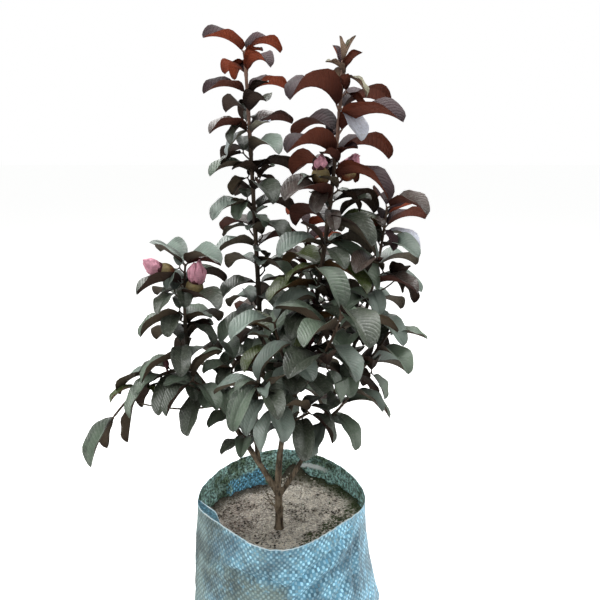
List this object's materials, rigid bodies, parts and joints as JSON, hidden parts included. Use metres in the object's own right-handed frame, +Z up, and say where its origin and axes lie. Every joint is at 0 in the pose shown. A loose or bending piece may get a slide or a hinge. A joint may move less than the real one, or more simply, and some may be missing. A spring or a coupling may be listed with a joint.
{
  "type": "potted guava tree",
  "caption": "Young purple-leaved guava tree in a cut-down woven sack of soil, with thin boughs, opposite leaves and a few blossoms, for gardens and yards.",
  "frame": {"origin": "middle of the sack's flat underside, on the surface it stands on", "axes": "+Z up along the tree; -Y is the front, where the foot of the trunk stands nearer the rim; +X is to the right seen from the front"},
  "size_m": [0.5624, 0.4364, 1.1343],
  "materials": {
    "sack": "matte",
    "soil": "dry, crumbly",
    "bark": "matte",
    "foliage": "satin"
  },
  "bodies": {
    "root": {"sack": "sack", "soil": "soil", "trunk": "bark", "centre_bough": "bark", "left_bough": "bark", "right_bough": "bark", "back_bough": "bark", "left_leader_bough": "bark", "left_leader": "foliage", "right_leader": "foliage", "right_shoot": "foliage", "left_flower_shoot": "foliage", "far_left_shoot": "foliage", "left_spur": "foliage", "left_under_shoot": "foliage", "low_spur": "foliage", "foot_spur": "foliage", "low_front_spur": "foliage", "front_shoot": "foliage", "low_right_shoot": "foliage", "mid_right_shoot": "foliage", "front_right_shoot": "foliage", "centre_left_shoot": "foliage", "back_shoot": "foliage", "back_left_shoot": "foliage", "back_right_shoot": "foliage"}
  },
  "joints": []
}
